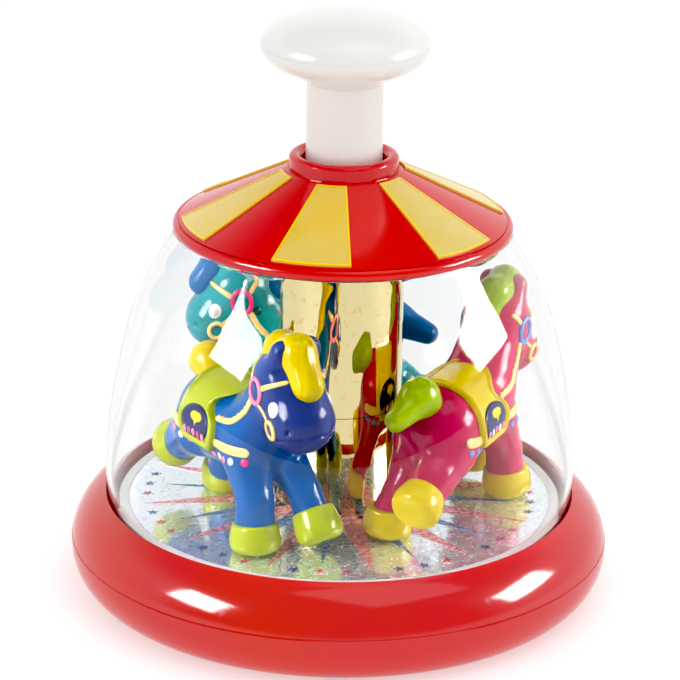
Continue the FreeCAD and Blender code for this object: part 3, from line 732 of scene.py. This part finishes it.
def dome_outline():
    """The dome in section: up the outside, over the top edge, down the inside and round the foot."""
    outer = curve_points([(73.3, 30.8), (73.9, 41), (72.0, 61), (66.4, 87), (60.6, 101), (51.3, 117)], 1.5)
    slope = unit(np.gradient(outer, axis=0))
    inner = outer + DOME_WALL * np.stack([-slope[:, 1], slope[:, 0]], 1)
    outer, inner = outer[outer[:, 1] < SKIRT_TOP], inner[inner[:, 1] < SKIRT_TOP]
    foot_outside = [(72.8, 22.2), (73.3, 24)]
    top_edge = [(51.2, 116.9), (50.0, 116.9)]
    foot_inside = [(71.7, 24), (71.6, 23.8), (65.8, 23.8), (65.6, 23.6), (65.6, 22.2), (65.8, 22)]
    return foot_outside + [tuple(p) for p in outer] + top_edge + [tuple(p) for p in inner[::-1]] + foot_inside


dome = lathe("clear_dome", dome_outline(), CLEAR, "base", 256)
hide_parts("dome")
top_plate = soften([(PLATE_BORE, PLATE_LOW), (PLATE_EDGE, PLATE_LOW), (PLATE_EDGE, PLATE_HIGH),
                    (PLATE_BORE, PLATE_HIGH)], 0.2, 3)
lathe("clear_dome_top", top_plate, CLEAR, "base", 192)

# ---------------------------------------------------------------- gold panel edges
CONE_LOW, CONE_HIGH = (50.6, 120.2), (17.6, 136.2)
PANELS, PANEL_TURN = 6, -11
PANEL_INNER, PANEL_OUTER, PANEL_HALF = 18.9, 49.5, 13.95
EDGE_WIDTH, EDGE_STEPS = 0.55, 24


def around(radius, degrees):
    """The point at this radius and angle, with 0 at the front."""
    a = math.radians(degrees - 90)
    return (radius * math.cos(a), radius * math.sin(a))


def on_cone(radius, degrees, lift):
    """A point above the canopy's cone, lifted square to it."""
    rise, run = CONE_HIGH[1] - CONE_LOW[1], CONE_LOW[0] - CONE_HIGH[0]
    z = CONE_LOW[1] + rise * (CONE_LOW[0] - radius) / run
    out, up = unit(np.array([rise, run], float))
    return np.array([*around(radius + out * lift, degrees), z + up * lift])


def panel_outline(middle):
    """(radius, degrees) points round one panel."""
    length, sweep = PANEL_OUTER - PANEL_INNER, 2 * PANEL_HALF
    left, right = middle - PANEL_HALF, middle + PANEL_HALF
    loop = [(PANEL_INNER + length * i / EDGE_STEPS, left) for i in range(EDGE_STEPS + 1)]
    loop += [(PANEL_OUTER, left + sweep * i / EDGE_STEPS) for i in range(1, EDGE_STEPS + 1)]
    loop += [(PANEL_OUTER - length * i / EDGE_STEPS, right) for i in range(1, EDGE_STEPS + 1)]
    loop += [(PANEL_INNER, right - sweep * i / EDGE_STEPS) for i in range(1, EDGE_STEPS)]
    return loop


def panel_edge(middle):
    """A raised band that runs just inside one panel's outline."""
    loop = panel_outline(middle)
    verts, faces = [], []
    for r, a in loop:
        inner_r, inner_a = r, a
        if math.isclose(r, PANEL_INNER):
            inner_r = r + EDGE_WIDTH
        elif math.isclose(r, PANEL_OUTER):
            inner_r = r - EDGE_WIDTH
        if math.isclose(abs(a - middle), PANEL_HALF):
            inner_a = a + math.copysign(math.degrees(EDGE_WIDTH / r), middle - a)
        verts += [on_cone(r, a, 0.2), on_cone(r, a, 0.62)]
        verts += [on_cone(inner_r, inner_a, 0.70), on_cone(inner_r, inner_a, 0.3)]
    for i in range(len(loop)):
        j = (i + 1) % len(loop)
        for q in range(4):
            w = (q + 1) % 4
            faces.append((4 * i + q, 4 * j + q, 4 * j + w, 4 * i + w))
    return np.array(verts), faces


edges = join([panel_edge(PANEL_TURN + 360 // PANELS * k) for k in range(PANELS)])
make("panel_edges", *edges, GOLD_EDGE, "base", smooth=False, slot="gold_foil_panel")

# ---------------------------------------------------------------- printed floor: rays and stars
INK_LOW, INK_HIGH = FLOOR_Z - 0.05, FLOOR_Z + 0.06
RAYS, RAY_STEP = 12, 30
RAY_BASE = 20.0
STAR_RING, STAR_SIZE, STAR_WAIST = 60.8, 2.0, 0.42


def printed(points):
    """A thin flat shape on the film."""
    n = len(points)
    verts = [(x, y, INK_LOW) for x, y in points] + [(x, y, INK_HIGH) for x, y in points]
    faces = [list(range(n))[::-1], [n + i for i in range(n)]]
    faces += [(i, (i + 1) % n, n + (i + 1) % n, n + i) for i in range(n)]
    return np.array(verts), faces


def ray(middle, tip, half_width):
    swing = math.degrees(half_width / RAY_BASE)
    return printed([around(RAY_BASE, middle - swing), around(tip, middle), around(RAY_BASE, middle + swing)])


def star(middle, count):
    """A five-pointed star, turned by an amount of its own."""
    cx, cy = around(STAR_RING, middle)
    spin = math.radians(middle * 2.3 + 17 * count)
    points = []
    for i in range(10):
        r = STAR_SIZE if i % 2 == 0 else STAR_SIZE * STAR_WAIST
        a = spin + i * math.pi / 5
        points.append((cx + r * math.cos(a), cy + r * math.sin(a)))
    return printed(points)


blue_stars = [17.5 + RAY_STEP * k for k in range(RAYS)] + [25 + RAY_STEP * k for k in range(0, RAYS, 2)]
red_stars = [2.5 + RAY_STEP * k for k in range(RAYS)] + [55 + 2 * RAY_STEP * k for k in range(RAYS // 2)]
PRINTS = (
    ("floor_rays_red", [ray(10 + RAY_STEP * k, 63.0, 4.8) for k in range(RAYS)], RAY_RED),
    ("floor_rays_blue", [ray(25 + RAY_STEP * k, 56.0, 3.0) for k in range(RAYS)], RAY_BLUE),
    ("floor_stars_blue", [star(middle, k) for k, middle in enumerate(blue_stars)], STAR_BLUE),
    ("floor_stars_red", [star(middle, k) for k, middle in enumerate(red_stars)], STAR_RED),
)
for name, shapes, ink in PRINTS:
    make(name, *join(shapes), ink, "carousel", smooth=False, slot="holographic_foil")

# ---------------------------------------------------------------- horse skins
# the cell of the grid that a skin is drawn from
STEP = 0.62
SHAPES = {
    "body": skin(horse_body, (-40, -20, -1), (54, 20, 74), STEP),
    "mane": skin(mane, (8, -8, 38), (53, 8, 76), STEP * 0.8),
    "tail": skin(tail, (-36, -8, 33), (-6, 10, 55), STEP * 0.8),
    "saddle": skin(saddle, (-12, -18, 25), (18, 18, 51), STEP * 0.7),
}
for name, (collar, sole, _, radius) in HOOVES.items():
    low = np.minimum(collar, sole) - radius - 1.5
    high = np.maximum(collar, sole) + radius + 1.5
    SHAPES["hoof_" + name] = skin(lambda p, name=name: hoof(p, name), low, high, STEP * 0.75)

# ---------------------------------------------------------------- painted and raised trim of one horse
TACK_KINDS = ("strap", "ring", "ring_core", "bit", "eye", "eye_core", "dot_a", "dot_b", "dot_c",
              "jewel", "badge", "heart", "bead_a", "bead_b")
# each strap: its route on one side, its width, its height, and what else it has
STRAPS = (
    (((10.6, 12.1, 38.8), (15.8, 12.2, 39.6), (19.6, 11.9, 40.7), (22.8, 11.0, 43.1),
      (26.1, 10.5, 46.4), (28.6, 10.3, 50.9)), 1.7, 0.5, {"scallop": 0.55}),
    (((34.4, 10.2, 55.7), (38.0, 8.9, 57.6), (41.4, 5.0, 59.2)), 1.8, 0.5, {"taper": 0.25}),
    (((28.8, 10.1, 56.9), (27.6, 9.2, 58.9), (26.4, 7.8, 60.4)), 1.6, 0.45, {}),
    (((32.4, 10.2, 50.4), (35.0, 10.0, 48.4), (37.6, 10.0, 46.6)), 1.1, 0.45, {}),
    (((11, 13.4, 31.2), (16, 13.3, 31.6), (20.8, 12.6, 31.9), (26.0, 9.4, 32.0)), 3.0, 0.5, {}),
    (((-14.2, 12.9, 32.2), (-10.5, 13.8, 31.4), (-5.0, 14.0, 30.8)), 3.2, 0.5, {}),
)
FRONT_DOTS = ((8.8, 12.2, 26.6), (13.0, 12.8, 27.2), (17.2, 13.1, 27.8), (21.0, 12.6, 28.4),
              (25.0, 10.4, 28.9))
REAR_DOTS = ((-12.4, 13.4, 28.4), (-8.4, 14.2, 27.4), (-4.2, 14.2, 26.8))
BEADS, BEAD_PITCH = 5, 2.5


def raised(f, height):
    """The surface of f moved out by height."""
    return lambda p: f(p) - height


HOOP_POINTS = 10
BADGE_OUTLINE = widened(arch(5.9), 1.28)
HEART_OUTLINE = widened(heart(2.9), 1.45)


def hoop(f, centre, wide, tall, width, height, lean=(0.0, 0.0)):
    """A closed oval strap on one cheek."""
    x, y, z = centre
    turns = np.arange(HOOP_POINTS) * 2 * math.pi / HOOP_POINTS
    route = [(x + wide * math.cos(t) + lean[0] * math.sin(t), y,
              z + tall * math.sin(t) - lean[1] * math.cos(t)) for t in turns]
    return strap(f, route, width, height, closed=True)


def dots(f, places, a, b):
    return [pad(f, place, oval(a, b), 0.45, dome=0.8, spokes=24) for place in places]


def trim(side):
    """All the trim on one side, as lists of mesh parts by kind."""
    f = plain_body
    front = [(x, side * y, z) for x, y, z in FRONT_DOTS]
    rear = [(x, side * y, z) for x, y, z in REAR_DOTS]
    beads = {"bead_a": [], "bead_b": []}
    for i in range(BEADS):
        off = i - BEADS // 2
        spot = (1.8 + off * BEAD_PITCH, side * 14.6, 31.9 - 0.12 * abs(off))
        bead = pad(raised(saddle_top, 0.38), spot, oval(0.8, 1.25), 0.3, dome=0.7, spokes=20)
        beads["bead_a" if i % 2 else "bead_b"].append(bead)
    return {
        "strap": [strap(f, [(x, side * y, z) for x, y, z in route], width, height, **extra)
                  for route, width, height, extra in STRAPS],
        "ring": [hoop(f, (31.3, side * 10.4, 54.1), 3.0, 3.9, 1.5, 0.75, lean=(0.6, 0.4))],
        "ring_core": [pad(f, (31.3, side * 10.4, 54.1), oval(2.0, 3.0), 0.35)],
        "bit": [hoop(f, (39.4, side * 10.2, 44.2), 2.5, 2.7, 1.4, 0.7)],
        "eye": [pad(f, (40.0, side * 9.4, 50.8), oval(2.15, 2.4), 0.55, dome=0.7)],
        "eye_core": [pad(raised(f, 0.5), (40.3, side * 9.8, 50.6), oval(1.25, 1.45), 0.3, dome=0.8)],
        "dot_a": dots(f, (front[0], front[2], rear[0], rear[2]), 1.15, 1.15),
        "dot_b": dots(f, (front[1], front[3], rear[1]), 1.2, 1.2),
        "dot_c": dots(f, (front[4],), 1.35, 1.25),
        "jewel": [pad(f, (26.4, side * 9.8, 51.0), oval(1.5, 1.5), 0.6, dome=0.8, spokes=24)],
        "badge": [pad(saddle_top, (1.8, side * 15.0, 35.0), BADGE_OUTLINE, 0.45, dome=0.2, spokes=72)],
        "heart": [pad(raised(saddle_top, 0.35), (2.6, side * 15.0, 37.2), HEART_OUTLINE, 0.4)],
        **beads,
    }


both_sides = [trim(side) for side in (-1, 1)]
TACK = {kind: join([part for parts in both_sides for part in parts[kind]]) for kind in TACK_KINDS}


# ---------------------------------------------------------------- the three horses
def coat(body, hair, accent, ring, dot_paints, bead_paints, jewel=None):
    """The material of each kind of piece on one horse. None leaves that kind out."""
    return {
        "body": body, "mane": hair, "tail": hair, "saddle": accent, "hoof": accent,
        "strap": TAN, "ring": ring, "ring_core": body, "bit": TAN, "eye": EYE_WHITE, "eye_core": EYE_GREY,
        "dot_a": dot_paints[0], "dot_b": dot_paints[1], "dot_c": dot_paints[2], "jewel": jewel,
        "badge": NAVY, "heart": GOLD_PAINT, "bead_a": bead_paints[0], "bead_b": bead_paints[1],
    }


COATS = {
    "blue": coat(BLUE, YELLOW, LIME, PALE_PINK, (PALE_PINK, EYE_WHITE, HOT_PINK), (HOT_PINK, PALE_PINK)),
    "pink": coat(PINK, LIME_HAIR, YELLOW, SKY, (SKY, SKY, SKY), (EYE_WHITE, PALE_PINK)),
    "teal": coat(TEAL, DEEP, LIME, HOT_PINK, (HOT_PINK, EYE_WHITE, HOT_PINK), (HOT_PINK, EYE_WHITE), GREEN),
}
HAIR_SLOT = {"blue": "yellow_trim_plastic", "pink": "lime_trim_plastic", "teal": "deep_blue_trim_plastic"}
TRIM_SLOT = {"blue": "lime_trim_plastic", "pink": "yellow_trim_plastic", "teal": "lime_trim_plastic"}


def horse(colour, degrees):
    """One horse on the carousel, at this angle from the front."""
    turn = Matrix.Rotation(math.radians(degrees), 4, "Z")
    place = turn @ Matrix.Translation((0, -HORSE_RADIUS * MM, FLOOR_Z * MM))
    paint = COATS[colour]

    def piece(name, shape, material, slot):
        return make(f"{colour}_{name}", *shape, material, "carousel", place=place, slot=slot)

    body = piece("body", SHAPES["body"], paint["body"], colour + "_body_plastic")
    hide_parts(colour + "_horse_body")
    for name in ("mane", "tail"):
        hair = piece(name, SHAPES[name], paint[name], HAIR_SLOT[colour])
        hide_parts(colour + "_horse_" + name)
    seat = piece("saddle", SHAPES["saddle"], paint["saddle"], TRIM_SLOT[colour])
    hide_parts(colour + "_horse_saddle")
    for name in HOOVES:
        foot = piece(f"hoof_{name}_skin", SHAPES["hoof_" + name], paint["hoof"], TRIM_SLOT[colour])
        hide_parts(colour + "_hoof_" + name)
    for kind in TACK_KINDS:
        if paint[kind] is None:
            continue
        thing = piece(kind, TACK[kind], paint[kind], "navy_badge_plastic")
        if kind == "badge" and colour == "blue":
            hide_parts("saddle_badges")


for index, colour in enumerate(COATS):
    horse(colour, HORSE_START + 360 / len(COATS) * index)

# ---------------------------------------------------------------- return spring
SPRING_LOW, SPRING_HIGH = 41.3, 107.9
SPRING_RADIUS, SPRING_WIRE, SPRING_TURNS = 9.0, 0.7, 9.5


def coil_spring(steps=40, sides=12):
    """Round wire in a coil, with a closed turn at each end."""
    closed = 2.15 * SPRING_WIRE
    u = np.linspace(0, SPRING_TURNS, int(SPRING_TURNS * steps) + 1)
    low, high = SPRING_LOW + SPRING_WIRE, SPRING_HIGH - SPRING_WIRE
    z = np.interp(u, (0, 1, SPRING_TURNS - 1, SPRING_TURNS), (low, low + closed, high - closed, high))
    section = 2 * math.pi * np.arange(sides) / sides
    reach = SPRING_RADIUS + SPRING_WIRE * np.cos(section)
    verts = []
    for turn, height in zip(2 * math.pi * u, z):
        rise = height + SPRING_WIRE * np.sin(section)
        verts += list(zip(reach * math.cos(turn), reach * math.sin(turn), rise))
    faces = [tuple(range(sides)), tuple(range(len(verts) - 1, len(verts) - sides - 1, -1))]
    for i in range(len(u) - 1):
        for j in range(sides):
            k = (j + 1) % sides
            faces.append((i * sides + j, (i + 1) * sides + j, (i + 1) * sides + k, i * sides + k))
    return verts, faces


# the coil rides with the plunger, on a mesh of its own
spring = make("coil_spring", *coil_spring(), STEEL, "plunger", slot="steel")
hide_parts("return_spring")
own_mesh(spring)

# ---------------------------------------------------------------- stage, light and camera, in metres
STAGE_HALF = 3.0
LIGHT_TARGET = Vector((0, 0, 0.07))


def stage_floor():
    """White paper that also glows a little, so that it prints as clean white."""
    m, tree, shader, _, place = new_material("stage_paper")
    feed(tree, shader, {
        "Base Color": mixed(tree, noise(tree, place, 3.0, 4.0), (0.56, 0.56, 0.56, 1), (0.60, 0.60, 0.60, 1)),
        "Roughness": 0.8,
        "Emission Color": (1, 1, 1, 1),
        "Emission Strength": 0.50,
    })
    corners = [(x * STAGE_HALF, y * STAGE_HALF, 0) for x, y in ((-1, -1), (1, -1), (1, 1), (-1, 1))]
    make("stage_floor", corners, [(0, 1, 2, 3)], m, None, scale=1.0)


def softbox(name, azimuth, elevation, distance, width, height, power, tilt=0.0):
    """A rectangular light that looks at the object. Azimuth 0 is the front, 90 the right."""
    a, e = math.radians(azimuth), math.radians(elevation)
    way = Vector((math.cos(e) * math.sin(a), -math.cos(e) * math.cos(a), math.sin(e)))
    data = bpy.data.lights.new(name, "AREA")
    data.shape = "RECTANGLE"
    data.size, data.size_y = width, height
    data.energy = power
    lamp = bpy.data.objects.new(name, data)
    bpy.context.scene.collection.objects.link(lamp)
    aim = (-way).to_track_quat("-Z", "Y").to_matrix().to_4x4()
    spin = Matrix.Rotation(math.radians(tilt), 4, "Z")
    lamp.matrix_world = Matrix.Translation(LIGHT_TARGET + distance * way) @ aim @ spin
    return lamp


def studio_world():
    """Even light for matt surfaces; a dark front and ceiling with a bright horizon for reflections."""
    world = bpy.data.worlds.new("studio")
    world.use_nodes = True
    sky = world.node_tree
    seen = node(sky, "ShaderNodeTexCoord").outputs["Generated"]
    way = node(sky, "ShaderNodeSeparateXYZ", {0: seen}).outputs
    behind = remap(sky, way["Y"], -0.55, -0.05, interpolation_type="SMOOTHSTEP")
    level = remap(sky, way["Z"], 0.45, 0.85, 1.15, 0.0, interpolation_type="SMOOTHSTEP")
    horizon = node(sky, "ShaderNodeMath", {0: behind, 1: level}, operation="MULTIPLY")
    glossy = node(sky, "ShaderNodeLightPath").outputs["Is Glossy Ray"]
    strength = node(sky, "ShaderNodeMix", {0: glossy, 2: 0.93, 3: horizon.outputs[0]})
    feed(sky, sky.nodes["Background"], {0: (1, 1, 1, 1), 1: strength.outputs[0]})
    return world


stage_floor()
left_box = softbox("left_box", -60, 22, 0.95, 0.38, 0.34, 13.5, tilt=-12)
right_box = softbox("right_box", 86, 19, 0.95, 0.46, 0.30, 13.5, tilt=12)
for lamp in (left_box, right_box):
    # these two only make the white patches on the gloss
    lamp.visible_diffuse = False
softbox("top_box", 48, 72, 1.6, 1.1, 1.1, 5)
bpy.context.scene.world = studio_world()
grade = bpy.context.scene.view_settings
grade.view_transform = "Standard"
grade.use_curve_mapping = True
grade.curve_mapping.black_level = (0.025, 0.025, 0.025)

CAMERA_PLACE = Vector((-0.0004, -0.8973, 0.4065))
CAMERA_TARGET = Vector((-0.0004, 0, 0.0800))
CAMERA_ROLL = 0.856
lens = bpy.data.cameras.new("camera")
lens.lens = 161.7
lens.sensor_width = 36
lens.clip_start = 0.01
camera = bpy.data.objects.new("camera", lens)
bpy.context.scene.collection.objects.link(camera)
aim = (CAMERA_TARGET - CAMERA_PLACE).to_track_quat("-Z", "Y").to_matrix().to_4x4()
roll = Matrix.Rotation(math.radians(CAMERA_ROLL), 4, "Z")
camera.matrix_world = Matrix.Translation(CAMERA_PLACE) @ aim @ roll
bpy.context.scene.camera = camera
